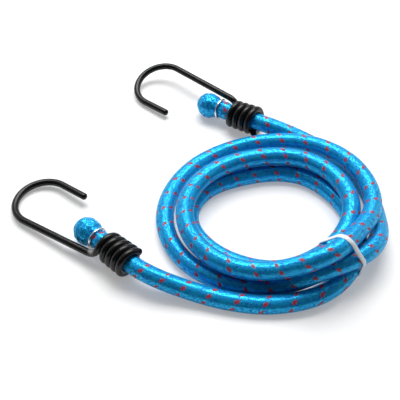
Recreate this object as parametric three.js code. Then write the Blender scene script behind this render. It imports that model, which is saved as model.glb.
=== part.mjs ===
// A bungee cord as it is sold: a braided elastic cord wound into a coil and tied with one band, with a
// steel wire hook wound tightly round the cord at each end and the cord's end swollen to a knob past it.
// Millimetres and degrees, +Z up. The coil lies on the floor at z = 0, and both hooks point along -X.

import * as THREE from 'three';

// Cord: a braided sheath over an elastic core
const CORD_DIAMETER = 8;
const SHEATH_WALL = 0.8;
const SEAT_GAP = 0.3; // between solids that touch on the real cord
const BED_SHARE = 0.1; // of the cord's diameter, pressed flat where it lies on the floor
const COIL_SIDES = 6;
const TAIL_SIDES = 8;
const TAIL_STEPS = 10;

// Coil: wound clockwise seen from above, its places told by the hours of a clock
const COIL_X = 31.4;
const COIL_Y = 9.2;
const COIL_RADIUS = 42;
const TURN_GAP = 0.45; // between neighbouring turns
const NOON = 129; // direction of twelve o'clock, from +X towards +Y
const HOUR = 30;
const HOURS_PER_TURN = 12;
const FIRST_HOUR = 2;
const STEPS_PER_HOUR = 2;

// The strand's place at each hour, counted in turns of cord: out from the coil's radius, then up
const FIRST_TURN = [
  [1.07, 0], [0.85, 0.05], [0.88, 1.06], [0.14, 1.24], [-0.29, 0.02], [0.13, 0],
  [0.66, 0], [0.92, 0], [0.85, 0], [0.78, 0], [0.57, 0.47],
];
const SECOND_TURN = [
  [0.63, 0.9], [0.66, 1.14], [0.51, 1.18], [-0.12, 1.77], [0.04, 2.32], [-0.43, 1.22],
  [-0.19, 1.02], [-0.08, 0.99], [-0.21, 1.02], [-0.71, 1.02], [-1.11, 1.01], [-1.14, 0.98],
];
const THIRD_TURN = [
  [-0.8, 0.97], [-0.65, 0.99], [-0.64, 1.08], [-0.87, 0.9], [-1.02, 0.72], [-1.33, 0],
  [-1.24, 0], [-0.84, 0], [-0.4, 0], [-0.83, 0], [-1.51, 0], [-1.55, 0],
];
const FOURTH_TURN = [
  [-1.21, 0], [-0.99, 0], [-0.54, 0], [0.11, 0.28], [0.7, 0.2], [0.76, 0],
];
const LANES = [...FIRST_TURN, ...SECOND_TURN, ...THIRD_TURN, ...FOURTH_TURN];

// Tie: a flat band drawn round the four strands that pass it, taken round the bundle from the lowest
const TIE_HOUR = 4.48;
const TIE_TURNS = [3, 0, 1, 2];
const TIE_OUT = 1; // a place in the bundle, out from the coil's radius
const TIE_UP = 12;
const TIE_SKEW = 6;
const TIE_LEAN = 9;
const TIE_WIDTH = 2;
const TIE_THICKNESS = 0.7;
const TIE_SLANT = 0.25; // most that a strand drifts sideways per millimetre of the band's width
const CROSSING_STEPS = 8;

// Ends: each lies along its own direction, tipped a little down towards the hook's crown. Its place is an
// hour, then the turns of cord out and up
const END_A = { at: [11.547, 3.328, 0.521], heading: 186.9, dip: 4.4, swivel: 166 };
const END_B = { at: [8.489, 4.104, 0.509], heading: 175.6, dip: 3.9, swivel: -2.2 };

// Free stretches between the coil and each end: places on the cord's centre line, told in the same way
const LEAD = 8; // straight run where a stretch meets the coil
const MOUTH_LEAD = 5; // straight run where a stretch comes out of the hook's winding
const TAIL_A = [
  [0.367, 1.58, 0.46], [0.605, 1.51, 0.24], [0.891, 1.44, 0.07], [1.21, 1.285, 0], [1.503, 1.16, 0],
];
const TAIL_B = [
  [7.742, 2.52, 0.5], [7.529, 1.97, 0.24], [7.265, 1.49, 0.06], [6.942, 1.197, 0], [6.606, 0.955, 0],
];

// Hook: one steel wire, wound round the cord and bent to a round hook with a straight point
const WIRE_DIAMETER = 3.4;
const WIRE_SIDES = 8;
const WIRE_STEPS = 130;
const WIND_TURNS = 3.95;
const WIND_GAP = 0.45;
const WIND_EXIT = 35; // where the winding ends, from the shank's side round towards the top
const BEND_REACH = 3.2; // handle length of the bend from the winding into the shank
const SHANK_CLEARANCE = 0.65; // between the shank and the clip that it passes
const SHANK_DROP = 1.3;
const SHANK_START = 6;
const SHANK_LENGTH = 43.3;
const SHANK_SPLAY = 10.3;
const HOOK_RADIUS = 13.47;
const POINT_LENGTH = 15;
const POINT_CLOSE = 5.3; // the point leans this far in towards the shank

// Cord end: squeezed by the winding, then swollen to a knob behind a wire clip
const MOUTH_LIP = 2.1; // cord shown before the winding starts
const SQUEEZE = 0.45; // taken off the cord's radius at the winding's tight end
const BULGE_RADIUS = 4.6;
const BULGE_AT = 3.6;
const NECK_RADIUS = 4.2;
const KNOB_RADIUS = 6;
const KNOB_LENGTH = 12.6;
const NECK_LENGTH = 1.6; // from the clip to where the knob begins to swell
const KNOB_STEPS = 8;
const END_SIDES = 16;

// Clip: an open ring of thin bright wire crimped round the neck
const CLIP_WIRE = 1.1;
const CLIP_AT = 6.9;
const CLIP_OPENING = 24;
const CLIP_SIDES = 6;
const CLIP_STEPS = 24;

// Worked out from the sizes above
const UP = new THREE.Vector3(0, 0, 1);
const radians = THREE.MathUtils.degToRad;
const CORD_RADIUS = CORD_DIAMETER / 2;
const BORE_RADIUS = CORD_RADIUS - SHEATH_WALL;
const CORE_INSET = SHEATH_WALL + SEAT_GAP;
const CORE_RADIUS = CORD_RADIUS - CORE_INSET;
const FLOOR_HEIGHT = CORD_RADIUS - BED_SHARE * CORD_DIAMETER;
const TURN_PITCH = CORD_DIAMETER + TURN_GAP;
const LAST_HOUR = FIRST_HOUR + LANES.length - 1;
const WIND_PITCH = WIRE_DIAMETER + WIND_GAP;
const WIND_LENGTH = WIND_PITCH * WIND_TURNS;
const MOUTH_AT = -WIND_LENGTH - MOUTH_LIP;
const TIE_SEAT = CORD_RADIUS + SEAT_GAP + TIE_SLANT * TIE_WIDTH / 2;
const CLIP_RADIUS = NECK_RADIUS + SEAT_GAP + CLIP_WIRE / 2;
const SHANK_BESIDE_CLIP = CLIP_RADIUS + CLIP_WIRE / 2 + SHANK_CLEARANCE + WIRE_DIAMETER / 2;
const SHANK_SIDE = SHANK_BESIDE_CLIP - CLIP_AT * Math.tan(radians(SHANK_SPLAY));
const KNOB_START = CLIP_AT + CLIP_WIRE / 2 + NECK_LENGTH;
const KNOB_AT = KNOB_START + KNOB_LENGTH / 2 * Math.sqrt(1 - (NECK_RADIUS / KNOB_RADIUS) ** 2);

function finish(color, roughness, metalness) {
  return () => new THREE.MeshStandardMaterial({ color, roughness, metalness });
}
const braid = finish('#1f86d6', 0.75, 0);
const latex = finish('#d9c9a4', 0.6, 0);
const blackWire = finish('#1b1c1e', 0.45, 0.3);
const brightWire = finish('#c9ccd0', 0.3, 1);
const palePlastic = finish('#f2f4f6', 0.35, 0);

function namedMesh(name, geometry, material) {
  const mesh = new THREE.Mesh(geometry, material);
  mesh.name = name;
  return mesh;
}

// Centre line of the coil: a smooth pass through the hourly places
const laneLine = new THREE.CatmullRomCurve3(
  LANES.map(([lane, layer], i) => new THREE.Vector3(FIRST_HOUR + i, lane, layer)),
  false,
  'catmullrom',
);

// A place at an hour of the coil's clock, from its distance to the coil's centre and its height
function clockPlace(hour, radius, height) {
  const angle = radians(NOON - HOUR * hour);
  return new THREE.Vector3(COIL_X + radius * Math.cos(angle), COIL_Y + radius * Math.sin(angle), height);
}

// A place on the cord's centre line at an hour, from the turns of cord out and up
function cordPlace([hour, lane, layer]) {
  return clockPlace(hour, COIL_RADIUS + lane * TURN_PITCH, FLOOR_HEIGHT + Math.max(layer, 0) * TURN_PITCH);
}

class CoilLine extends THREE.Curve {
  getPoint(t) {
    return cordPlace(laneLine.getPoint(t).toArray());
  }
}
const coilLine = new CoilLine();

// Corners of the cord's section at each step, with a flat side down and none below the floor
function sectionRings(steps, sides, radius, floor) {
  return steps.map(({ point, tangent }) => {
    const side = UP.clone().cross(tangent).normalize();
    const top = tangent.clone().cross(side);
    return Array.from({ length: sides }, (_, j) => {
      const angle = (2 * Math.PI * (j + 0.5)) / sides - Math.PI / 2;
      const corner = point.clone().addScaledVector(side, radius * Math.cos(angle));
      corner.addScaledVector(top, radius * Math.sin(angle));
      corner.z = Math.max(corner.z, floor);
      return corner;
    });
  });
}

// Skin between successive rings of corners, facing away from the line they follow
function ringSkin(rings, first) {
  const sides = rings[0].length;
  const faces = [];
  for (let i = 0; i < rings.length - 1; i += 1) {
    for (let j = 0; j < sides; j += 1) {
      const a = first + i * sides + j;
      const b = first + i * sides + ((j + 1) % sides);
      faces.push(a, b, b + sides, a, b + sides, a + sides);
    }
  }
  return faces;
}

function facesTurned(faces) {
  return faces.slice().reverse();
}

function solidFrom(rings, faces) {
  const geometry = new THREE.BufferGeometry().setFromPoints(rings.flat());
  geometry.setIndex(faces);
  geometry.computeVertexNormals();
  return geometry;
}

// Hollow cord: an outer and an inner skin, closed by a flat ring at each end
function sheathTube(steps, sides) {
  const outer = sectionRings(steps, sides, CORD_RADIUS, 0);
  const inner = sectionRings(steps, sides, BORE_RADIUS, SHEATH_WALL);
  const inside = outer.length * sides;
  const lastRing = inside - sides;
  const faces = [...ringSkin(outer, 0), ...facesTurned(ringSkin(inner, inside))];
  for (let j = 0; j < sides; j += 1) {
    const k = (j + 1) % sides;
    faces.push(j, inside + j, inside + k, j, inside + k, k);
    const rim = [lastRing + j, lastRing + k, inside + lastRing + k, inside + lastRing + j];
    faces.push(rim[0], rim[1], rim[2], rim[0], rim[2], rim[3]);
  }
  return solidFrom([...outer, ...inner], faces);
}

// Solid cord: one skin, closed by a flat face at each end
function coreTube(steps, sides) {
  const rings = sectionRings(steps, sides, CORE_RADIUS, CORE_INSET);
  const lastRing = (rings.length - 1) * sides;
  const faces = ringSkin(rings, 0);
  for (let j = 1; j < sides - 1; j += 1) {
    faces.push(0, j + 1, j);
    faces.push(lastRing, lastRing + j, lastRing + j + 1);
  }
  return solidFrom(rings, faces);
}

function makeCoil() {
  const coil = new THREE.Group();
  const count = (LAST_HOUR - FIRST_HOUR) * STEPS_PER_HOUR;
  const steps = Array.from({ length: count + 1 }, (_, i) => ({
    point: coilLine.getPoint(i / count),
    tangent: coilLine.getTangent(i / count),
  }));
  coil.add(namedMesh('sheath_coil', sheathTube(steps, COIL_SIDES), braid()));
  coil.add(namedMesh('core_coil', coreTube(steps, COIL_SIDES), latex()));
  return coil;
}

// Outline that rolls round the strands' centres at a set distance, as a taut band lies
function bundleOutline(outline, centres, distance) {
  const edgeNormal = (from, to) => Math.atan2(to.y - from.y, to.x - from.x) - Math.PI / 2;
  centres.forEach((centre, i) => {
    const before = centres.at(i - 1);
    const after = centres[(i + 1) % centres.length];
    const start = edgeNormal(before, centre);
    outline.absarc(centre.x, centre.y, distance, start, edgeNormal(centre, after), false);
  });
  outline.closePath();
  return outline;
}

// Where one turn of the coil passes through the tie's plane, found by stepping along the cord to it
function crossingPlace(tie, turn) {
  let hour = TIE_HOUR + turn * HOURS_PER_TURN;
  let place = new THREE.Vector3();
  for (let step = 0; step < CROSSING_STEPS; step += 1) {
    place = tie.worldToLocal(coilLine.getPoint((hour - FIRST_HOUR) / (LAST_HOUR - FIRST_HOUR)));
    hour -= place.z / (radians(HOUR) * COIL_RADIUS);
  }
  return place;
}

function makeTie() {
  const tie = namedMesh('coil_tie', new THREE.BufferGeometry(), palePlastic());
  tie.position.copy(clockPlace(TIE_HOUR, COIL_RADIUS + TIE_OUT, TIE_UP));
  tie.rotation.set(radians(90 + TIE_LEAN), 0, radians(NOON - HOUR * TIE_HOUR + TIE_SKEW), 'ZYX');
  tie.updateMatrixWorld();
  const centres = TIE_TURNS.map((turn) => crossingPlace(tie, turn));
  const band = bundleOutline(new THREE.Shape(), centres, TIE_SEAT + TIE_THICKNESS);
  band.holes.push(bundleOutline(new THREE.Path(), centres, TIE_SEAT));
  const pull = { depth: TIE_WIDTH, bevelEnabled: false, curveSegments: 4 };
  tie.geometry = new THREE.ExtrudeGeometry(band, pull);
  tie.geometry.translate(0, 0, -TIE_WIDTH / 2);
  return tie;
}

// The cord's radius inside the winding, which grips it tighter towards the hook
function gripRadius(x) {
  return CORD_RADIUS - SQUEEZE * THREE.MathUtils.clamp(1 + x / WIND_LENGTH, 0, 1);
}

// Half outline of the cord's end from its mouth to the top of its knob, a set distance inside its surface
function endOutline(inset) {
  const outline = [
    new THREE.Vector2(CORD_RADIUS - inset, MOUTH_AT),
    new THREE.Vector2(CORD_RADIUS - inset, -WIND_LENGTH),
    new THREE.Vector2(gripRadius(0) - inset, 0),
    new THREE.Vector2(BULGE_RADIUS - inset, BULGE_AT),
    new THREE.Vector2(NECK_RADIUS - inset, CLIP_AT),
  ];
  const knobRadius = KNOB_RADIUS - inset;
  const knobReach = KNOB_LENGTH / 2 - inset;
  const start = Math.asin((NECK_RADIUS - inset) / knobRadius);
  for (let i = 0; i < KNOB_STEPS; i += 1) {
    const angle = THREE.MathUtils.lerp(start, Math.PI, i / KNOB_STEPS);
    outline.push(new THREE.Vector2(knobRadius * Math.sin(angle), KNOB_AT - knobReach * Math.cos(angle)));
  }
  outline.push(new THREE.Vector2(0, KNOB_AT + knobReach));
  return outline;
}

function turnedAlongX(outline) {
  return new THREE.LatheGeometry(outline, END_SIDES).rotateZ(-Math.PI / 2);
}

// The wire's close winding, left-handed towards the hook, each turn seated on the cord
class WindingLine extends THREE.Curve {
  getPoint(t) {
    const x = WIND_LENGTH * (t - 1);
    const angle = radians(WIND_EXIT) + 2 * Math.PI * WIND_TURNS * (1 - t);
    const radius = gripRadius(x) + SEAT_GAP + WIRE_DIAMETER / 2;
    return new THREE.Vector3(x, radius * Math.cos(angle), radius * Math.sin(angle));
  }
}

// Round bow of the hook, in the plane that the shank and the point share
class BowLine extends THREE.Curve {
  getPoint(t) {
    const angle = radians(-90 + t * (180 + POINT_CLOSE));
    return hookPoint(SHANK_LENGTH + HOOK_RADIUS * Math.cos(angle), HOOK_RADIUS * (1 + Math.sin(angle)));
  }
}

// A place in the hook's plane: along the shank's line, then across towards the point
function hookPoint(along, across) {
  const splay = radians(SHANK_SPLAY);
  const x = along * Math.cos(splay) + across * Math.sin(splay);
  const y = SHANK_SIDE + along * Math.sin(splay) - across * Math.cos(splay);
  return new THREE.Vector3(x, y, -SHANK_DROP);
}

function makeHook(letter) {
  const winding = new WindingLine();
  const bow = new BowLine();
  const shankStart = hookPoint(SHANK_START, 0);
  const shankEnd = hookPoint(SHANK_LENGTH, 0);
  const shankWay = shankEnd.clone().sub(shankStart).normalize();
  const windingEnd = winding.getPoint(1);
  const bendIn = windingEnd.clone().addScaledVector(winding.getTangent(1), BEND_REACH);
  const bendOut = shankStart.clone().addScaledVector(shankWay, -BEND_REACH);
  const bowEnd = bow.getPoint(1);
  const tip = bowEnd.clone().addScaledVector(bow.getTangent(1), POINT_LENGTH);

  const wire = new THREE.CurvePath();
  wire.add(winding);
  wire.add(new THREE.CubicBezierCurve3(windingEnd, bendIn, bendOut, shankStart));
  wire.add(new THREE.LineCurve3(shankStart, shankEnd));
  wire.add(bow);
  wire.add(new THREE.LineCurve3(bowEnd, tip));

  const section = wireSection(WIRE_DIAMETER, WIRE_SIDES);
  const geometry = new THREE.ExtrudeGeometry(section, { steps: WIRE_STEPS, extrudePath: wire });
  return namedMesh(`hook_${letter}`, geometry, blackWire());
}

function wireSection(diameter, sides) {
  const corners = Array.from({ length: sides }, (_, j) => {
    const angle = (2 * Math.PI * j) / sides;
    return new THREE.Vector2(Math.cos(angle), Math.sin(angle)).multiplyScalar(diameter / 2);
  });
  return new THREE.Shape(corners);
}

// Ring of the clip about the cord's axis, open at the bottom
class ClipLine extends THREE.Curve {
  getPoint(t) {
    const angle = radians(-90 + CLIP_OPENING / 2 + t * (360 - CLIP_OPENING));
    return new THREE.Vector3(CLIP_AT, CLIP_RADIUS * Math.cos(angle), CLIP_RADIUS * Math.sin(angle));
  }
}

function makeEnd(letter, place) {
  const end = new THREE.Group();
  end.position.copy(cordPlace(place.at));
  end.rotation.set(0, radians(place.dip), radians(place.heading), 'ZYX');

  const skin = endOutline(0);
  const lining = endOutline(SHEATH_WALL);
  const filling = endOutline(CORE_INSET);
  const mouthMiddle = new THREE.Vector2(0, MOUTH_AT);
  end.add(namedMesh(`sheath_end_${letter}`, turnedAlongX([...lining.reverse(), ...skin]), braid()));
  end.add(namedMesh(`core_end_${letter}`, turnedAlongX([mouthMiddle, ...filling]), latex()));

  const clip = new THREE.ExtrudeGeometry(wireSection(CLIP_WIRE, CLIP_SIDES), {
    steps: CLIP_STEPS,
    extrudePath: new ClipLine(),
  });
  end.add(namedMesh(`end_clip_${letter}`, clip, brightWire()));

  const hook = makeHook(letter);
  hook.rotation.x = radians(place.swivel);
  end.add(hook);
  end.updateMatrixWorld(true);
  return end;
}

// Free stretch of cord from an end's mouth to the coil, straight where it meets them
function tailLine(end, points, coilEnd, coilWay) {
  const mouth = end.localToWorld(new THREE.Vector3(MOUTH_AT, 0, 0));
  const outside = end.localToWorld(new THREE.Vector3(MOUTH_AT - MOUTH_LEAD, 0, 0));
  const beforeCoil = coilEnd.clone().addScaledVector(coilWay, LEAD);
  const middle = points.map(cordPlace);
  return new THREE.CatmullRomCurve3([mouth, outside, ...middle, beforeCoil, coilEnd], false, 'catmullrom');
}

function makeTail(letter, line) {
  const tail = new THREE.Group();
  const margin = SEAT_GAP / line.getLength();
  const steps = Array.from({ length: TAIL_STEPS + 1 }, (_, i) => {
    const along = THREE.MathUtils.lerp(margin, 1 - margin, i / TAIL_STEPS);
    return { point: line.getPointAt(along), tangent: line.getTangentAt(along) };
  });
  tail.add(namedMesh(`sheath_tail_${letter}`, sheathTube(steps, TAIL_SIDES), braid()));
  tail.add(namedMesh(`core_tail_${letter}`, coreTube(steps, TAIL_SIDES), latex()));
  return tail;
}

// Least clear distance between two runs of round wire or cord, from points along their centre lines
function leastGap(diameter, points, others, neighbours = 0) {
  let least = Infinity;
  points.forEach((point, i) => {
    const start = points === others ? i + neighbours : 0;
    for (let j = start; j < others.length; j += 1) {
      least = Math.min(least, point.distanceTo(others[j]));
    }
  });
  return (least - diameter).toFixed(2);
}

const endA = makeEnd('a', END_A);
const endB = makeEnd('b', END_B);
const coilStart = coilLine.getPoint(0);
const coilFinish = coilLine.getPoint(1);
const lineA = tailLine(endA, TAIL_A, coilStart, coilLine.getTangent(0).negate());
const lineB = tailLine(endB, TAIL_B, coilFinish, coilLine.getTangent(1));

const bungee = new THREE.Group();
bungee.add(makeCoil(), makeTie());
bungee.add(makeTail('a', lineA), makeTail('b', lineB));
bungee.add(endA, endB);

const COIL_CHECKS = 800;
const WIND_CHECKS = 400;
const TAIL_CHECKS = 60;
const coilPoints = coilLine.getPoints(COIL_CHECKS);
const windPoints = new WindingLine().getPoints(WIND_CHECKS);
const halfTurn = Math.round(COIL_CHECKS / (2 * (LAST_HOUR - FIRST_HOUR)) * HOURS_PER_TURN);
const halfWind = Math.round(WIND_CHECKS / (2 * WIND_TURNS));
console.log(`coil's least gap to itself ${leastGap(CORD_DIAMETER, coilPoints, coilPoints, halfTurn)} mm`);
console.log(`winding's least gap to itself ${leastGap(WIRE_DIAMETER, windPoints, windPoints, halfWind)} mm`);
const middleA = coilPoints.slice(halfTurn);
const middleB = coilPoints.slice(0, -halfTurn);
console.log(`stretch a to coil ${leastGap(CORD_DIAMETER, lineA.getPoints(TAIL_CHECKS), middleA)} mm`);
console.log(`stretch b to coil ${leastGap(CORD_DIAMETER, lineB.getPoints(TAIL_CHECKS), middleB)} mm`);
const cordLength = lineA.getLength() + coilLine.getLength() + lineB.getLength();
console.log(`cord from mouth to mouth ${cordLength.toFixed(0)} mm`);

export default bungee;
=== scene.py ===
import math
import bmesh
import bpy
from mathutils import Matrix, Vector, noise


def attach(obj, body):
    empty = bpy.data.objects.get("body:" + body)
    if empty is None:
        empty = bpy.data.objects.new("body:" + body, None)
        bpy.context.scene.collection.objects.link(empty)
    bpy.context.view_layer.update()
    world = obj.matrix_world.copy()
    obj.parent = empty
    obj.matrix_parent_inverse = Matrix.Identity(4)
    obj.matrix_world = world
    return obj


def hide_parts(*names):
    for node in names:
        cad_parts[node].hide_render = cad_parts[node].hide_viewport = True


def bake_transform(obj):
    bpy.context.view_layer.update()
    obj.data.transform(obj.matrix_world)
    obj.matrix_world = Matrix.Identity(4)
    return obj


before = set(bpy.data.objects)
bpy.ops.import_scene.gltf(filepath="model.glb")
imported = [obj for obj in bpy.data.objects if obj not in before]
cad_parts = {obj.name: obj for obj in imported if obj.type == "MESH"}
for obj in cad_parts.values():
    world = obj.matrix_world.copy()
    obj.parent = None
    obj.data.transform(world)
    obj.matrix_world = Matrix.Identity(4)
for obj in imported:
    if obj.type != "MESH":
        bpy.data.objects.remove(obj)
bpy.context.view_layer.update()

scene = bpy.context.scene
scene.view_settings.view_transform = "Standard"
mm = 0.001


# Camera: a short telephoto lens that looks down on the coil from its front right corner.
CAMERA_AIM = Vector((-3.1, -0.7, 0)) * mm
CAMERA_DISTANCE = 373
azimuth = math.radians(39)
elevation = math.radians(48)
camera = bpy.data.objects.new("camera", bpy.data.cameras.new("camera"))
scene.collection.objects.link(camera)
away = Vector((
    math.sin(azimuth) * math.cos(elevation),
    -math.cos(azimuth) * math.cos(elevation),
    math.sin(elevation),
))
camera.location = CAMERA_AIM + away * CAMERA_DISTANCE * mm
camera.rotation_euler = away.to_track_quat("Z", "Y").to_euler()
camera.data.lens = 69.84
camera.data.sensor_width = 36
camera.data.clip_start = 0.01
scene.camera = camera


# Cord: elastic latex strands in a braided polyester sheath, blue with three red tracer yarns side by
# side. It is wound into three and a third turns that lie on the floor and on each other, and each end
# runs out of the coil as a free stretch to its hook.
CORD_DIAMETER = 8 * mm
SHEATH_RADIUS = 4.2 * mm  # a little full, so that strands that press on each other touch
TURN_PITCH = 8.45 * mm
FLOOR_HEIGHT = 3.2 * mm
COIL_CENTRE = Vector((31.4, 9.2, 0)) * mm
COIL_RADIUS = 42 * mm
NOON = 129  # direction of twelve o'clock on the coil's clock
HOUR = 30
HOURS_PER_TURN = 12
UP = Vector((0, 0, 1))

# The strand's place at each hour, counted in turns of cord: out from the coil's radius, then up. The
# free stretches give the hour as well.
FIRST_HOUR = 2
FIRST_TURN = [
    (1.07, 0), (0.85, 0.05), (0.88, 1.06), (0.14, 1.24), (-0.29, 0.02), (0.13, 0),
    (0.66, 0), (0.92, 0), (0.85, 0), (0.78, 0), (0.57, 0.47),
]
SECOND_TURN = [
    (0.63, 0.9), (0.66, 1.14), (0.51, 1.18), (-0.12, 1.77), (0.04, 2.32), (-0.43, 1.22),
    (-0.19, 1.02), (-0.08, 0.99), (-0.21, 1.02), (-0.71, 1.02), (-1.11, 1.01), (-1.14, 0.98),
]
THIRD_TURN = [
    (-0.8, 0.97), (-0.65, 0.99), (-0.64, 1.08), (-0.87, 0.9), (-1.02, 0.72), (-1.33, 0),
    (-1.24, 0), (-0.84, 0), (-0.4, 0), (-0.83, 0), (-1.51, 0), (-1.55, 0),
]
FOURTH_TURN = [(-1.21, 0), (-0.99, 0), (-0.54, 0), (0.11, 0.28), (0.7, 0.2), (0.76, 0)]
TAIL_A = [
    (0.367, 1.58, 0.46), (0.605, 1.51, 0.24), (0.891, 1.44, 0.07), (1.21, 1.285, 0), (1.503, 1.16, 0),
]
TAIL_B = [
    (7.742, 2.52, 0.5), (7.529, 1.97, 0.24), (7.265, 1.49, 0.06), (6.942, 1.197, 0), (6.606, 0.955, 0),
]
LEAD = 8 * mm  # straight run where a stretch meets the coil
MOUTH_LEAD = 5 * mm  # straight run where a stretch comes out of the hook's winding
MOUTH_AT = -17.3075 * mm
CLIP_AT = 6.9 * mm
LINE_STEPS = 60


def cord_place(hour, lane, layer):
    """A point of the cord's centre line by the coil's clock, in turns of cord out and up."""
    angle = math.radians(NOON - HOUR * hour)
    out = COIL_RADIUS + lane * TURN_PITCH
    height = FLOOR_HEIGHT + max(layer, 0) * TURN_PITCH
    return COIL_CENTRE + Vector((out * math.cos(angle), out * math.sin(angle), height))


def smooth_line(points, steps):
    """A curve through the points, with the given number of steps from each to the next."""
    ends = [2 * points[0] - points[1], *points, 2 * points[-1] - points[-2]]
    line = []
    for before, start, finish, after in zip(ends, ends[1:], ends[2:], ends[3:]):
        leave = (finish - before) / 2
        arrive = (after - start) / 2
        for i in range(steps):
            t = i / steps
            line.append(
                start * (2 * t**3 - 3 * t**2 + 1) + leave * (t**3 - 2 * t**2 + t)
                + finish * (3 * t**2 - 2 * t**3) + arrive * (t**3 - t**2)
            )
    return [*line, points[-1]]


def end_place(at, heading, dip):
    """The frame of one end of the cord: its X axis runs out of the coil towards the hook."""
    turn = Matrix.Rotation(math.radians(heading), 4, "Z") @ Matrix.Rotation(math.radians(dip), 4, "Y")
    return Matrix.Translation(cord_place(*at)) @ turn


END_A = end_place(at=(11.547, 3.328, 0.521), heading=186.9, dip=4.4)
END_B = end_place(at=(8.489, 4.104, 0.509), heading=175.6, dip=3.9)
lanes = [*FIRST_TURN, *SECOND_TURN, *THIRD_TURN, *FOURTH_TURN]
hours = [Vector((FIRST_HOUR + i, lane, layer)) for i, (lane, layer) in enumerate(lanes)]
coil_line = [cord_place(*place) for place in smooth_line(hours, LINE_STEPS)]


def tail_line(end, places, coil_end, coil_next):
    """A free stretch from the mouth of an end to the coil, straight where it meets them."""
    mouth = end @ Vector((MOUTH_AT, 0, 0))
    outside = end @ Vector((MOUTH_AT - MOUTH_LEAD, 0, 0))
    between = [cord_place(*place) for place in places]
    before_coil = coil_end + (coil_end - coil_next).normalized() * LEAD
    return smooth_line([mouth, outside, *between, before_coil, coil_end], LINE_STEPS)


tail_a_line = tail_line(END_A, TAIL_A, coil_line[0], coil_line[1])
tail_b_line = tail_line(END_B, TAIL_B, coil_line[-1], coil_line[-2])[::-1]


def even_line(line, step):
    """The same curve with points about a step apart, and its length."""
    lengths = [0.0]
    for a, b in zip(line, line[1:]):
        lengths.append(lengths[-1] + (b - a).length)
    count = round(lengths[-1] / step)
    points = []
    at = 0
    for i in range(count + 1):
        wanted = lengths[-1] * i / count
        while at < len(line) - 2 and lengths[at + 1] < wanted:
            at += 1
        share = (wanted - lengths[at]) / (lengths[at + 1] - lengths[at])
        points.append(line[at].lerp(line[at + 1], share))
    return points, lengths[-1]


def eased_line(line, reach):
    """The same line with its corners eased, as a springy cord lies; its ends stay where they are."""
    eased = []
    for i in range(len(line)):
        near = min(i, reach, len(line) - 1 - i)
        eased.append(sum(line[i - near:i + near + 1], Vector()) / (2 * near + 1))
    return eased


def line_length(line):
    """The length of a line of points."""
    return sum((b - a).length for a, b in zip(line, line[1:]))


RING_STEP = 0.9 * mm
EASE_RINGS = 7
route, cord_length = even_line([*tail_a_line, *coil_line[1:], *tail_b_line[1:]], RING_STEP)
ring_step = cord_length / (len(route) - 1)
coil_start = round(line_length(tail_a_line) / ring_step)
coil_finish = len(route) - 1 - round(line_length(tail_b_line) / ring_step)
cord_line = eased_line(eased_line(route, EASE_RINGS), EASE_RINGS)
tail_a_points = cord_line[:coil_start + 1]
coil_points = cord_line[coil_start:coil_finish + 1]
tail_b_points = cord_line[coil_finish:]

# The braid repeats once per lead, in which each yarn goes once round the cord. Leads aren't equal all
# along the cord, so they are counted at places: millimetres along it, then leads.
LEADS_AT = [
    (5, 0.37), (109, 9.18), (155, 13.99), (198, 18.03), (257, 24.16), (356, 32.15), (398, 36.08),
    (455, 41.05), (488, 44.05), (538.5, 50.2), (606, 56.23), (639, 59.13), (758, 69.34), (786, 72.33),
    (820, 75.27), (886.5, 81.04), (958.5, 87.04), (977.5, 89.04),
]
YARNS = 14  # each way round
TRACER_YARNS = 3
TRACER_SIDE = 30 / 360  # turns round the cord at which the tracers' whole leads lie
TRACER_SHIFT = TRACER_YARNS / 4 / YARNS  # brings the middle of the left-hand tracers there
TURNED_LEAD = 78  # past it the right-hand yarns hold the tracers


def braid_place(along, angle):
    """Where a point of the sheath is in the braid: leads along the cord, then turns round it."""
    at = 0
    while at < len(LEADS_AT) - 2 and LEADS_AT[at + 1][0] * mm < along:
        at += 1
    (start, first), (finish, last) = LEADS_AT[at], LEADS_AT[at + 1]
    leads = first + (last - first) * (along / mm - start) / (finish - start)
    return leads - TRACER_SHIFT, angle / math.tau - TRACER_SIDE + TRACER_SHIFT


def made_piece(name, bm):
    """The finished shape as an object in the scene."""
    mesh = bpy.data.meshes.new(name)
    bm.to_mesh(mesh)
    bm.free()
    piece = bpy.data.objects.new(name, mesh)
    scene.collection.objects.link(piece)
    return piece


CORD_SIDES = 36


def cord_tube(name, points, start, ahead, behind):
    """A length of cord: rings round its centre line, bedded flat on the floor, closed at both ends."""
    bm = bmesh.new()
    layer = bm.loops.layers.uv.new("braid")
    around = [ahead, *points, behind]
    rings = []
    for i, point in enumerate(points):
        tangent = (around[i + 2] - around[i]).normalized()
        side = UP.cross(tangent).normalized()
        top = tangent.cross(side)
        ring = []
        for j in range(CORD_SIDES):
            angle = math.tau * j / CORD_SIDES
            corner = point + (side * math.cos(angle) + top * math.sin(angle)) * SHEATH_RADIUS
            corner.z = max(corner.z, 0)
            ring.append(bm.verts.new(corner))
        rings.append(ring)
    for i, (ring, following) in enumerate(zip(rings, rings[1:])):
        for j in range(CORD_SIDES):
            k = (j + 1) % CORD_SIDES
            face = bm.faces.new((ring[j], ring[k], following[k], following[j]))
            face.smooth = True
            corners = ((i, j), (i, j + 1), (i + 1, j + 1), (i + 1, j))
            for loop, (along, turn) in zip(face.loops, corners):
                loop[layer].uv = braid_place((start + along) * ring_step, math.tau * turn / CORD_SIDES)
    for ring in (rings[0][::-1], rings[-1]):
        bm.faces.new(ring)
        for a, b in zip(ring, [*ring[1:], ring[0]]):
            bm.edges.get((a, b)).smooth = False
    return made_piece(name, bm)


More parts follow.
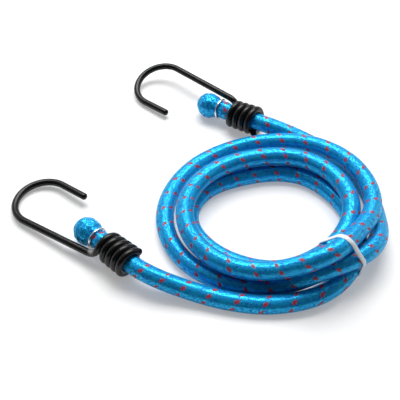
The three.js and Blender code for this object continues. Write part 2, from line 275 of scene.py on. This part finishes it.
class Nodes:
    """Short words for making the nodes of one material, group or world."""

    def __init__(self, tree):
        self.tree = tree

    def add(self, kind, settings=(), **inputs):
        """A node with its settings; an input is named, or numbered as i0, i1 and so on."""
        node = self.tree.nodes.new(kind)
        for key, value in dict(settings).items():
            setattr(node, key, value)
        for key, value in inputs.items():
            numbered = key[0] == "i" and key[1:].isdigit()
            socket = node.inputs[int(key[1:]) if numbered else key.replace("_", " ")]
            if isinstance(value, bpy.types.NodeSocket):
                self.tree.links.new(value, socket)
            else:
                socket.default_value = value
        return node

    def math(self, operation, a, b=0.0, c=0.0):
        return self.add("ShaderNodeMath", {"operation": operation}, i0=a, i1=b, i2=c).outputs[0]

    def mix(self, share, a, b):
        return self.add("ShaderNodeMix", {"data_type": "RGBA"}, i0=share, i6=a, i7=b).outputs[2]

    def feed(self, value, node, socket):
        self.tree.links.new(value, node.inputs[socket])


def new_material(name):
    """A new material, the maker of its nodes and its Principled shader."""
    material = bpy.data.materials.new(name)
    material.use_nodes = True
    return material, Nodes(material.node_tree), material.node_tree.nodes["Principled BSDF"]


# The sheath's finish: shiny yarns, each over two and under two of those that run the other way. Each
# yarn is a few ends side by side, and its fibres give the colour and the gloss a fine grain. The colour
# also holds painted shade, darker at each yarn's edges and at the ends of its floats.
SHEATH_BLUE = (0.012, 0.52, 0.92, 1)
SHEATH_DEEP_SHADE = (0.002, 0.1, 0.46, 1)
SHEATH_SHINE = (0.2, 0.92, 1, 1)
TRACER_RED = (0.52, 0.003, 0.02, 1)
TRACER_DEEP_SHADE = (0.24, 0.002, 0.008, 1)
FLOAT_LENGTH = 2  # yarns that a yarn passes over
YARN_ENDS = 3
YARN_FALL = 0.95  # from a yarn's middle to its edge
CROWN_RISE = 0.6  # from the ends of a float to its middle
FIBRE_SCALE = 1200.0
FLECK_ACROSS = 1.3
FLECK_ALONG = 1.35
FLECK_EDGE = 1.05
FLECK_FRAY = 0.3
END_RELIEF = 0.4
YARN_RELIEF = 0.7
FIBRE_RELIEF = 0.4
LUCK_SHARE = 0.2  # how much floats and ends differ in colour
# Painted shade over each yarn: how far it lifts with the yarn's height, and what stays in its crevices.
PAINTED_SHADE_SPAN = 0.9
PAINTED_SHADE_FLOOR = 0.15
TRACER_SHADE_SHARE = 0.7
SHEATH_ROUGHNESS = 0.46
GLINT_GLOSS = 0.24
TRACER_ROUGHER = 0.3
SHEATH_METALLIC = 0.42
TRACER_DULLER = 0.35

sheath, n, shader = new_material("braided_sheath")
place = n.add("ShaderNodeSeparateXYZ", i0=n.add("ShaderNodeUVMap", {"uv_map": "braid"}).outputs[0])
leads = place.outputs[0]
turns = place.outputs[1]
left = n.math("MULTIPLY", n.math("SUBTRACT", turns, leads), YARNS)
right = n.math("MULTIPLY", n.math("ADD", turns, leads), YARNS)
left_yarn = n.math("FLOOR", left)
right_yarn = n.math("FLOOR", right)
left_across = n.math("FRACT", left)
right_across = n.math("FRACT", right)
crossing = n.math("FLOORED_MODULO", n.math("ADD", left_yarn, right_yarn), 2 * FLOAT_LENGTH)
left_on_top = n.math("LESS_THAN", crossing, FLOAT_LENGTH - 0.5)


def top_yarn(if_left, if_right):
    """Takes the first value where the left-hand yarn is on top, and otherwise the second."""
    return n.add("ShaderNodeMix", {"data_type": "FLOAT"}, i0=left_on_top, i2=if_right, i3=if_left).outputs[0]


across = top_yarn(left_across, right_across)
from_middle = n.math("MULTIPLY_ADD", across, 2, -1)
past_left = n.math("ADD", crossing, right_across)
past_right = n.math("ADD", n.math("SUBTRACT", crossing, FLOAT_LENGTH), left_across)
float_left = n.math("MULTIPLY", past_left, 1 / FLOAT_LENGTH)
float_right = n.math("MULTIPLY", past_right, 1 / FLOAT_LENGTH)
along_float = top_yarn(float_left, float_right)
fall = n.math("MULTIPLY", from_middle, from_middle)
roundness = n.math("SQRT", n.math("MULTIPLY_ADD", fall, -YARN_FALL, 1))
crown = n.math("SINE", n.math("MULTIPLY", along_float, math.pi))
yarn_height = n.math("MULTIPLY", roundness, n.math("MULTIPLY_ADD", crown, CROWN_RISE, 1 - CROWN_RISE))
end_number = n.math("FLOOR", n.math("MULTIPLY", across, YARN_ENDS))
end_across = n.math("FRACT", n.math("MULTIPLY", across, YARN_ENDS))
end_height = n.math("SINE", n.math("MULTIPLY", end_across, math.pi))
left_number = n.math("FLOORED_MODULO", left_yarn, YARNS)
right_number = n.math("FLOORED_MODULO", right_yarn, YARNS)
number = top_yarn(left_number, right_number)
where = n.add("ShaderNodeTexCoord").outputs["Object"]
fluff = n.add("ShaderNodeTexNoise", Vector=where, Scale=FIBRE_SCALE, Detail=2.0, Roughness=0.85).outputs[0]
glint = n.add(
    "ShaderNodeMapRange", Value=fluff, From_Min=0.38, From_Max=0.62, To_Min=-0.4, To_Max=1.6,
).outputs[0]

# Flecks show where the tracers are on top. Their edges are frayed, and there are none on the knobs.
turned = n.math("GREATER_THAN", leads, TURNED_LEAD)
tracer_way = n.math("COMPARE", left_on_top, n.math("SUBTRACT", 1, turned), 0.5)
group_across = n.math("SUBTRACT", n.math("ADD", number, across), TRACER_YARNS / 2)
group_along = n.math("MULTIPLY_ADD", along_float, 2, -1)
fleck_across = n.math("MULTIPLY", group_across, 1 / FLECK_ACROSS)
fleck_along = n.math("MULTIPLY", group_along, 1 / FLECK_ALONG)
fleck_reach = n.math("MULTIPLY", fleck_along, fleck_along)
fleck_reach = n.math("MULTIPLY_ADD", fleck_across, fleck_across, fleck_reach)
fleck_reach = n.math("MULTIPLY_ADD", glint, FLECK_FRAY, fleck_reach)
clip_a_leads = braid_place(MOUTH_AT - CLIP_AT, 0)[0]
clip_b_leads = braid_place(cord_length - MOUTH_AT + CLIP_AT, 0)[0]
past_clip_a = n.math("GREATER_THAN", leads, clip_a_leads)
before_clip_b = n.math("LESS_THAN", leads, clip_b_leads)
tracer = n.math("MULTIPLY", tracer_way, n.math("LESS_THAN", fleck_reach, FLECK_EDGE))
tracer = n.math("MULTIPLY", tracer, n.math("MULTIPLY", past_clip_a, before_clip_b))

# Each float, and each end in it, has a colour of its own by chance, and each end a height as well.
row = n.math("SUBTRACT", left_yarn, right_yarn)
left_row = n.math("ADD", row, crossing)
right_row = n.math("SUBTRACT", n.math("ADD", row, FLOAT_LENGTH), crossing)
row = top_yarn(left_row, right_row)
float_name = n.add("ShaderNodeCombineXYZ", X=row, Y=number, Z=left_on_top).outputs[0]
luck = n.add("ShaderNodeTexWhiteNoise", Vector=float_name).outputs["Value"]
end_name = n.math("MULTIPLY_ADD", row, YARN_ENDS, end_number)
end_name = n.add("ShaderNodeCombineXYZ", X=end_name, Y=number, Z=left_on_top).outputs[0]
end_luck = n.add("ShaderNodeTexWhiteNoise", Vector=end_name).outputs["Value"]
height = n.math("MULTIPLY", yarn_height, YARN_RELIEF)
height = n.math("MULTIPLY_ADD", n.math("MULTIPLY", end_height, end_luck), END_RELIEF, height)
height = n.math("MULTIPLY_ADD", fluff, FIBRE_RELIEF, height)
sheen = n.math("MULTIPLY_ADD", n.math("ADD", luck, end_luck), LUCK_SHARE, glint)
# Painted shade: blue and red darken at yarn edges and float ends, as shade between yarns, times chance tone.
painted_shade_and_tone = n.math("MULTIPLY", n.math("MULTIPLY_ADD", yarn_height, PAINTED_SHADE_SPAN, PAINTED_SHADE_FLOOR), sheen)
blue = n.mix(painted_shade_and_tone, SHEATH_DEEP_SHADE, SHEATH_BLUE)
red = n.mix(n.math("MULTIPLY_ADD", painted_shade_and_tone, TRACER_SHADE_SHARE, 1 - TRACER_SHADE_SHARE), TRACER_DEEP_SHADE, TRACER_RED)
bump = n.add("ShaderNodeBump", Strength=0.5, Distance=0.2 * mm, Height=height)
gloss = n.math("MULTIPLY_ADD", glint, -GLINT_GLOSS, SHEATH_ROUGHNESS)
n.feed(n.mix(tracer, blue, red), shader, "Base Color")
n.feed(n.math("MULTIPLY_ADD", tracer, TRACER_ROUGHER, gloss), shader, "Roughness")
n.feed(n.math("MULTIPLY_ADD", tracer, -TRACER_DULLER, SHEATH_METALLIC), shader, "Metallic")
n.feed(bump.outputs[0], shader, "Normal")
shader.inputs["IOR"].default_value = 1.8
shader.inputs["Specular Tint"].default_value = SHEATH_SHINE

before_a = 2 * tail_a_points[0] - tail_a_points[1]
after_b = 2 * tail_b_points[-1] - tail_b_points[-2]
coil_piece = cord_tube("braid_coil", coil_points, coil_start, tail_a_points[-2], tail_b_points[1])
tail_a_piece = cord_tube("braid_stretch_a", tail_a_points, 0, before_a, coil_points[1])
tail_b_piece = cord_tube("braid_stretch_b", tail_b_points, coil_finish, coil_points[-2], after_b)
for piece in (coil_piece, tail_a_piece, tail_b_piece):
    piece.data.materials.append(sheath)
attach(coil_piece, "coil")
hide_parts("sheath_coil", "core_coil")
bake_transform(tail_a_piece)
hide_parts("sheath_tail_a", "core_tail_a")
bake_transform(tail_b_piece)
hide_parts("sheath_tail_b", "core_tail_b")


# Cord ends: past its hook's winding the cord is squeezed by the clip and then swells to a knob, with
# the cut end heat-sealed. The sheath is the same braid, opened out over the knob.
WIND_LENGTH = 15.2075 * mm
NECK_OUTLINE = [
    (MOUTH_AT, SHEATH_RADIUS), (-WIND_LENGTH, SHEATH_RADIUS), (-WIND_LENGTH / 2, SHEATH_RADIUS - 0.1 * mm),
    (0, 3.85 * mm), (1.6 * mm, 4.2 * mm), (3.6 * mm, 4.6 * mm), (5.4 * mm, 4.45 * mm), (CLIP_AT, 4.3 * mm),
    (8.4 * mm, 4.5 * mm),
]
KNOB_RADIUS = 6.35 * mm
KNOB_REACH = 6.7 * mm
KNOB_AT = 13.55 * mm
KNOB_FROM = 48  # where the knob's round begins, in degrees from the neck
KNOB_STEPS = 12
OUTLINE_STEPS = 6
END_SIDES = 64
PUCKERS = 11
PUCKER_DEPTH = 0.03
PUCKER_REACH = 2.4 * mm
LUMPS = [(0.06, 4 * mm), (0.07, 1.6 * mm)]  # height of the knob's lumps as a share, then their size
NECK_LUMPS = 0.5  # share of them on the neck


def knob_outline():
    """Half outline of the cord's end, from its mouth through the winding and the neck to the knob's tip."""
    shape = list(NECK_OUTLINE)
    for i in range(1, KNOB_STEPS + 1):
        angle = math.radians(KNOB_FROM + (180 - KNOB_FROM) * i / KNOB_STEPS)
        shape.append((KNOB_AT - KNOB_REACH * math.cos(angle), KNOB_RADIUS * math.sin(angle)))
    line = smooth_line([Vector((x, 0, radius)) for x, radius in shape], OUTLINE_STEPS)
    line[-1].z = 0
    return line


def cord_end(name, end, mouth_along, sense):
    """The end of the cord: its outline turned about the cord's axis, puckered by the clip."""
    bm = bmesh.new()
    layer = bm.loops.layers.uv.new("braid")
    outline = knob_outline()
    verts = [bm.verts.new(point) for point in outline]
    edges = [bm.edges.new(pair) for pair in zip(verts, verts[1:])]
    bmesh.ops.spin(
        bm, geom=verts + edges, cent=(0, 0, 0), axis=(1, 0, 0), angle=math.tau, steps=END_SIDES,
        use_merge=True,
    )
    bmesh.ops.remove_doubles(bm, verts=bm.verts, dist=1e-6)
    bmesh.ops.holes_fill(bm, edges=[edge for edge in bm.edges if edge.is_boundary])
    bmesh.ops.recalc_face_normals(bm, faces=bm.faces)
    tangent = (end.to_3x3() @ Vector((1, 0, 0))) * sense
    side = UP.cross(tangent).normalized()
    top = tangent.cross(side)
    lengths = [0.0]
    for a, b in zip(outline, outline[1:]):
        lengths.append(lengths[-1] + (b - a).length)

    def arc_at(x):
        at = 0
        while at < len(outline) - 2 and outline[at + 1].x < x:
            at += 1
        share = (x - outline[at].x) / max(outline[at + 1].x - outline[at].x, 1e-9)
        return lengths[at] + (lengths[at + 1] - lengths[at]) * share

    for face in bm.faces:
        face.smooth = True
        middle = end.to_3x3() @ Vector((0, *face.calc_center_median().yz))
        middle_angle = math.atan2(middle.dot(top), middle.dot(side))
        for loop in face.loops:
            out = end.to_3x3() @ Vector((0, *loop.vert.co.yz))
            angle = math.atan2(out.dot(top), out.dot(side)) if out.length > 1e-7 else middle_angle
            angle += math.tau * round((middle_angle - angle) / math.tau)
            loop[layer].uv = braid_place(mouth_along + sense * arc_at(loop.vert.co.x), angle)
    for vert in bm.verts:
        x, y, z = vert.co
        angle = math.atan2(z, y)
        near_clip = math.exp(-(((x - CLIP_AT) / PUCKER_REACH) ** 2))
        pucker = PUCKER_DEPTH * near_clip * math.sin(PUCKERS * angle + 2 * math.sin(3 * angle))
        lump = sum(depth * noise.noise(vert.co / size) for depth, size in LUMPS)
        if x <= 0:
            lump = 0
        elif x <= CLIP_AT:
            lump *= NECK_LUMPS
        vert.co.yz = vert.co.yz * (1 + pucker + lump)
    bm.transform(end)
    piece = made_piece(name, bm)
    piece.data.materials.append(sheath)
    return piece


end_a_piece = cord_end("braid_end_a", END_A, 0, -1)
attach(end_a_piece, "end_a")
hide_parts("sheath_end_a", "core_end_a")
end_b_piece = cord_end("braid_end_b", END_B, cord_length, 1)
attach(end_b_piece, "end_b")
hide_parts("sheath_end_b", "core_end_b")


# Hooks: one steel wire each, wound tightly round the cord in about four turns, bent out along the
# cord and round to a hook with a straight point, then dipped in a black coat.
WIRE_RADIUS = 1.7 * mm
WIND_TURNS = 4.325
WIND_EXIT = math.radians(35)  # from the shank's side round towards the top
WIND_SEAT = 0.3 * mm
WIND_STEPS = 150
SQUEEZE = 0.45 * mm  # taken off the cord's radius at the winding's tight end
BEND_REACH = 3.2 * mm  # handle length of the bend from the winding into the shank
BEND_STEPS = 16
SHANK_SPLAY = math.radians(10.3)
SHANK_DROP = 1.3 * mm
SHANK_START = 6 * mm
SHANK_LENGTH = 43.3 * mm
SHANK_SIDE = 6.6961 * mm
SHANK_STEPS = 20
HOOK_RADIUS = 13.47 * mm
HOOK_STEPS = 48
POINT_LENGTH = 15 * mm
POINT_CLOSE = 5.3  # degrees that the point leans in towards the shank
POINT_STEPS = 8
TIP_LENGTH = 1.4 * mm
TIP_STEPS = 6
TIP_FLAT = 0.02  # of the wire's radius, left flat at the very tip
WIRE_ROUNDNESS = 6
SWIVEL_A = 166
SWIVEL_B = -2.2


def winding_point(t):
    """A point of the winding's centre line, from its free start to where it bends into the shank."""
    x = WIND_LENGTH * (t - 1)
    angle = WIND_EXIT + math.tau * WIND_TURNS * (1 - t)
    out = CORD_DIAMETER / 2 - SQUEEZE * t + WIND_SEAT + WIRE_RADIUS
    return Vector((x, out * math.cos(angle), out * math.sin(angle)))


def hook_point(along, across):
    """A point in the hook's own plane: along the shank, then across towards the point."""
    x = along * math.cos(SHANK_SPLAY) + across * math.sin(SHANK_SPLAY)
    y = SHANK_SIDE + along * math.sin(SHANK_SPLAY) - across * math.cos(SHANK_SPLAY)
    return Vector((x, y, -SHANK_DROP))


def hook_line():
    """The wire's centre line from the winding's start to the hook's point."""
    line = [winding_point(i / WIND_STEPS) for i in range(WIND_STEPS)]
    start = winding_point(1)
    finish = hook_point(SHANK_START, 0)
    leave = (winding_point(1) - winding_point(0.999)).normalized() * BEND_REACH
    arrive = (hook_point(SHANK_LENGTH, 0) - finish).normalized() * BEND_REACH
    for i in range(BEND_STEPS):
        t = i / BEND_STEPS
        line.append(
            start * (1 - t) ** 3 + (start + leave) * 3 * t * (1 - t) ** 2
            + (finish - arrive) * 3 * t**2 * (1 - t) + finish * t**3
        )
    for i in range(SHANK_STEPS):
        line.append(hook_point(SHANK_START + (SHANK_LENGTH - SHANK_START) * i / SHANK_STEPS, 0))
    for i in range(HOOK_STEPS + 1):
        angle = math.radians(-90 + (180 + POINT_CLOSE) * i / HOOK_STEPS)
        along = SHANK_LENGTH + HOOK_RADIUS * math.cos(angle)
        line.append(hook_point(along, HOOK_RADIUS * (1 + math.sin(angle))))
    way = (line[-1] - line[-2]).normalized()
    shoulder = line[-1]
    for i in range(1, POINT_STEPS + 1):
        line.append(shoulder + way * (POINT_LENGTH - TIP_LENGTH) * i / POINT_STEPS)
    tip = line[-1]
    for i in range(1, TIP_STEPS + 1):
        line.append(tip + way * TIP_LENGTH * math.sin(math.radians(90 * i / TIP_STEPS)))
    return line


def drawn_wire(name, line, radii, roundness):
    """Round wire along a line: a curve with a bevel, made a mesh."""
    curve = bpy.data.curves.new(name, "CURVE")
    curve.dimensions = "3D"
    curve.bevel_depth = 1
    curve.bevel_resolution = roundness
    curve.use_fill_caps = True
    spline = curve.splines.new("POLY")
    spline.points.add(len(line) - 1)
    for point, place, radius in zip(spline.points, line, radii):
        point.co = (*place, 1)
        point.radius = radius
    holder = bpy.data.objects.new(name + "_line", curve)
    scene.collection.objects.link(holder)
    mesh = bpy.data.meshes.new_from_object(holder.evaluated_get(bpy.context.evaluated_depsgraph_get()))
    bpy.data.objects.remove(holder)
    bpy.data.curves.remove(curve)
    mesh.name = name
    piece = bpy.data.objects.new(name, mesh)
    scene.collection.objects.link(piece)
    for polygon in mesh.polygons:
        polygon.use_smooth = True
    return piece


def grain_group():
    """A node group for the fine grain of a dipped, drawn or moulded surface, and the roughness it gives."""
    tree = bpy.data.node_groups.new("fine_grain", "ShaderNodeTree")
    for word in ("Scale", "Detail", "Smoothest", "Spread"):
        tree.interface.new_socket(word, in_out="INPUT", socket_type="NodeSocketFloat")
    for word in ("Grain", "Roughness"):
        tree.interface.new_socket(word, in_out="OUTPUT", socket_type="NodeSocketFloat")
    n = Nodes(tree)
    given = n.add("NodeGroupInput").outputs
    where = n.add("ShaderNodeTexCoord").outputs["Object"]
    grain = n.add("ShaderNodeTexNoise", Vector=where, Scale=given["Scale"], Detail=given["Detail"]).outputs[0]
    roughness = n.math("MULTIPLY_ADD", grain, given["Spread"], given["Smoothest"])
    n.add("NodeGroupOutput", Grain=grain, Roughness=roughness)
    return tree


COAT_BLACK = (0.002, 0.002, 0.0025, 1)
COAT_GREY = (0.006, 0.006, 0.007, 1)
BARE_STEEL = (0.62, 0.6, 0.56, 1)
RUB_REACH = 1.6 * mm
RUB_DEPTH = 1.7  # above 1, so that the middle of the bend is rubbed right through
fine_grain = grain_group()

coat, n, shader = new_material("black_coat")
coat_grain = n.add(
    "ShaderNodeGroup", {"node_tree": fine_grain}, Scale=900.0, Detail=4.0, Smoothest=0.16, Spread=0.2,
).outputs
where = n.add("ShaderNodeTexCoord").outputs["Object"]
patches = n.add("ShaderNodeTexNoise", Vector=where, Scale=160.0, Detail=3.0).outputs[0]
rubbed = n.add("ShaderNodeAttribute", {"attribute_name": "rubbed"}).outputs["Fac"]
worn = n.math("SMOOTH_MIN", 1.0, n.math("MULTIPLY", patches, 1.6), 0.2)
bare = n.math("MULTIPLY", rubbed, worn)
bump = n.add("ShaderNodeBump", Strength=0.25, Distance=0.05 * mm, Height=coat_grain["Grain"])
n.feed(n.mix(bare, n.mix(patches, COAT_BLACK, COAT_GREY), BARE_STEEL), shader, "Base Color")
n.feed(coat_grain["Roughness"], shader, "Roughness")
n.feed(bare, shader, "Metallic")
n.feed(bump.outputs[0], shader, "Normal")
shader.inputs["Specular IOR Level"].default_value = 0.3


def wire_hook(name, end, swivel):
    """One hook, turned about the cord to where it lies, with its coat rubbed at the bend."""
    line = hook_line()
    radii = [WIRE_RADIUS] * len(line)
    for i in range(1, TIP_STEPS + 1):
        radii[i - TIP_STEPS - 1] = WIRE_RADIUS * max(math.cos(math.radians(90 * i / TIP_STEPS)), TIP_FLAT)
    piece = drawn_wire(name, line, radii, WIRE_ROUNDNESS)
    mark = piece.data.attributes.new("rubbed", "FLOAT", "POINT")
    bend = (winding_point(1) + hook_point(SHANK_START, 0)) / 2
    for vert, value in zip(piece.data.vertices, mark.data):
        value.value = max(0.0, min(1.0, RUB_DEPTH - (vert.co - bend).length / RUB_REACH))
    piece.data.transform(end @ Matrix.Rotation(math.radians(swivel), 4, "X"))
    piece.data.materials.append(coat)
    return piece


hook_a_piece = wire_hook("wire_hook_a", END_A, SWIVEL_A)
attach(hook_a_piece, "hook_a")
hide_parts("hook_a")
hook_b_piece = wire_hook("wire_hook_b", END_B, SWIVEL_B)
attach(hook_b_piece, "hook_b")
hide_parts("hook_b")


# Clips: an open ring of thin bright steel wire, crimped round the neck of each end so that the knob
# can't pull back through the winding.
CLIP_RADIUS = 4.95 * mm
CLIP_WIRE_RADIUS = 0.55 * mm
CLIP_OPENING = 24
CLIP_STEPS = 60
CLIP_ROUNDNESS = 4
CLIP_DULL = (0.62, 0.63, 0.65, 1)
CLIP_BRIGHT = (0.9, 0.9, 0.9, 1)

bright_wire, n, shader = new_material("bright_wire")
wire_grain = n.add(
    "ShaderNodeGroup", {"node_tree": fine_grain}, Scale=1400.0, Detail=3.0, Smoothest=0.14, Spread=0.2,
).outputs
n.feed(n.mix(wire_grain["Grain"], CLIP_DULL, CLIP_BRIGHT), shader, "Base Color")
n.feed(wire_grain["Roughness"], shader, "Roughness")
shader.inputs["Metallic"].default_value = 1.0


def neck_clip(name, end):
    """One clip, with its opening at the bottom."""
    line = []
    for i in range(CLIP_STEPS + 1):
        angle = math.radians(-90 + CLIP_OPENING / 2 + (360 - CLIP_OPENING) * i / CLIP_STEPS)
        line.append(Vector((CLIP_AT, CLIP_RADIUS * math.cos(angle), CLIP_RADIUS * math.sin(angle))))
    piece = drawn_wire(name, line, [CLIP_WIRE_RADIUS] * len(line), CLIP_ROUNDNESS)
    piece.data.transform(end)
    piece.data.materials.append(bright_wire)
    return piece


clip_a_piece = neck_clip("neck_clip_a", END_A)
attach(clip_a_piece, "end_a")
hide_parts("end_clip_a")
clip_b_piece = neck_clip("neck_clip_b", END_B)
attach(clip_b_piece, "end_b")
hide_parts("end_clip_b")


# Tie: a flat band of pale, slightly clear plastic. It is drawn tight round the four strands that pass
# it, from the lowest one round the bundle, and keeps the coil wound.
TIE_HOUR = 4.48
TIE_TURNS = (3, 0, 1, 2)
TIE_OUT = 1 * mm
TIE_UP = 12 * mm
TIE_SKEW = 6
TIE_LEAN = 9
TIE_SEAT = 4.3 * mm
TIE_THICKNESS = 0.7 * mm
TIE_WIDTH = 2 * mm
TIE_ROUNDING = 0.2 * mm
TIE_STEPS = 12  # round each strand
TIE_SEARCH = 25  # rings either side among which a strand meets the band
RIM_ANGLE = 1  # in radians: sharper edges of the band are rounded
BAND_CLEAR = (0.72, 0.78, 0.84, 1)
BAND_PALE = (0.92, 0.94, 0.95, 1)

tie_frame = (
    Matrix.Translation(cord_place(TIE_HOUR, TIE_OUT / TURN_PITCH, (TIE_UP - FLOOR_HEIGHT) / TURN_PITCH))
    @ Matrix.Rotation(math.radians(NOON - HOUR * TIE_HOUR + TIE_SKEW), 4, "Z")
    @ Matrix.Rotation(math.radians(90 + TIE_LEAN), 4, "X")
)
to_tie = tie_frame.inverted()
strands = []
for turn in TIE_TURNS:
    step = round((TIE_HOUR + HOURS_PER_TURN * turn - FIRST_HOUR) * LINE_STEPS)
    near = round(line_length(coil_line[:step + 1]) / ring_step)
    passing = [to_tie @ point for point in coil_points[near - TIE_SEARCH:near + TIE_SEARCH + 1]]
    strands.append(min(passing, key=lambda point: abs(point.z)))

bm = bmesh.new()
outline = []
for before, centre, after in zip([strands[-1], *strands], strands, [*strands[1:], strands[0]]):
    start = math.atan2(centre.y - before.y, centre.x - before.x) - math.pi / 2
    finish = math.atan2(after.y - centre.y, after.x - centre.x) - math.pi / 2
    sweep = (finish - start) % math.tau
    for i in range(TIE_STEPS + 1):
        angle = start + sweep * i / TIE_STEPS
        outline.append(bm.verts.new((
            centre.x + TIE_SEAT * math.cos(angle), centre.y + TIE_SEAT * math.sin(angle), -TIE_WIDTH / 2,
        )))
loop = [bm.edges.new(pair) for pair in zip(outline, [*outline[1:], outline[0]])]
drawn_out = bmesh.ops.extrude_edge_only(bm, edges=loop)["geom"]
far_side = [item for item in drawn_out if isinstance(item, bmesh.types.BMVert)]
bmesh.ops.translate(bm, vec=(0, 0, TIE_WIDTH), verts=far_side)
bmesh.ops.recalc_face_normals(bm, faces=bm.faces)
bmesh.ops.solidify(bm, geom=bm.faces[:], thickness=-TIE_THICKNESS)
bmesh.ops.recalc_face_normals(bm, faces=bm.faces)
rims = [edge for edge in bm.edges if len(edge.link_faces) == 2 and edge.calc_face_angle() > RIM_ANGLE]
bmesh.ops.bevel(bm, geom=rims, offset=TIE_ROUNDING, affect="EDGES", segments=3, profile=0.5, material=-1)
for face in bm.faces:
    face.smooth = True
bm.transform(tie_frame)
tie_piece = made_piece("coil_band", bm)

pale, n, shader = new_material("pale_plastic")
band_grain = n.add(
    "ShaderNodeGroup", {"node_tree": fine_grain}, Scale=500.0, Detail=3.0, Smoothest=0.2, Spread=0.2,
).outputs
bump = n.add("ShaderNodeBump", Strength=0.2, Distance=0.05 * mm, Height=band_grain["Grain"])
n.feed(n.mix(band_grain["Grain"], BAND_CLEAR, BAND_PALE), shader, "Base Color")
n.feed(band_grain["Roughness"], shader, "Roughness")
n.feed(bump.outputs[0], shader, "Normal")
tie_piece.data.materials.append(pale)
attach(tie_piece, "coil")
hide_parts("coil_tie")


# Studio: a white table top, a soft light above and behind, and pale surroundings that are dark on the
# camera's side. Where the table is looked at, a share of glow keeps its white clean and its shadow light.
TABLE_SIZE = 4
TABLE_DROP = 0.02 * mm
TABLE_LIT = (0.92, 0.92, 0.92, 1)
WHITE = (1, 1, 1, 1)
GLOW_SHARE = 0.3
SOFTBOX_HEIGHT = 0.88
SOFTBOX_BEHIND = 0.5
SKY_BEHIND = 0.6
SKY_IN_FRONT = 0.04

bm = bmesh.new()
bmesh.ops.create_grid(bm, x_segments=1, y_segments=1, size=TABLE_SIZE)
table_top = made_piece("table_top", bm)
table_top.location.z = -TABLE_DROP
white_table, n, shader = new_material("white_table")
rays = n.add("ShaderNodeLightPath").outputs
looked_at = n.math("MAXIMUM", rays["Is Camera Ray"], rays["Is Glossy Ray"])
looked_at = n.math("MAXIMUM", looked_at, rays["Is Transmission Ray"])
paper = n.add("ShaderNodeBsdfDiffuse", Color=n.mix(looked_at, TABLE_LIT, WHITE)).outputs[0]
glow = n.add("ShaderNodeEmission", Color=WHITE, Strength=1.0).outputs[0]
table_look = n.add("ShaderNodeMixShader", i0=n.math("MULTIPLY", looked_at, GLOW_SHARE), i1=paper, i2=glow)
n.feed(table_look.outputs[0], n.tree.nodes["Material Output"], "Surface")
n.tree.nodes.remove(shader)
table_top.data.materials.append(white_table)

towards_camera = Vector((math.sin(azimuth), -math.cos(azimuth), 0))
softbox = bpy.data.objects.new("softbox", bpy.data.lights.new("softbox", "AREA"))
scene.collection.objects.link(softbox)
softbox.data.shape = "RECTANGLE"
softbox.data.size = 0.9
softbox.data.size_y = 0.55
softbox.data.energy = 12.5
softbox.location = UP * SOFTBOX_HEIGHT - towards_camera * SOFTBOX_BEHIND
softbox.rotation_euler = softbox.location.to_track_quat("Z", "Y").to_euler()

world = bpy.data.worlds.new("studio")
scene.world = world
world.use_nodes = True
n = Nodes(world.node_tree)
background = world.node_tree.nodes["Background"]
sky = n.add("ShaderNodeTexCoord").outputs["Generated"]
facing = n.add("ShaderNodeVectorMath", {"operation": "DOT_PRODUCT"}, i0=sky, i1=tuple(towards_camera))
shade = n.add(
    "ShaderNodeMapRange", {"interpolation_type": "SMOOTHSTEP"}, Value=facing.outputs["Value"],
    From_Min=-0.1, From_Max=0.2, To_Min=SKY_BEHIND, To_Max=SKY_IN_FRONT,
)
n.feed(shade.outputs[0], background, "Strength")
background.inputs["Color"].default_value = WHITE
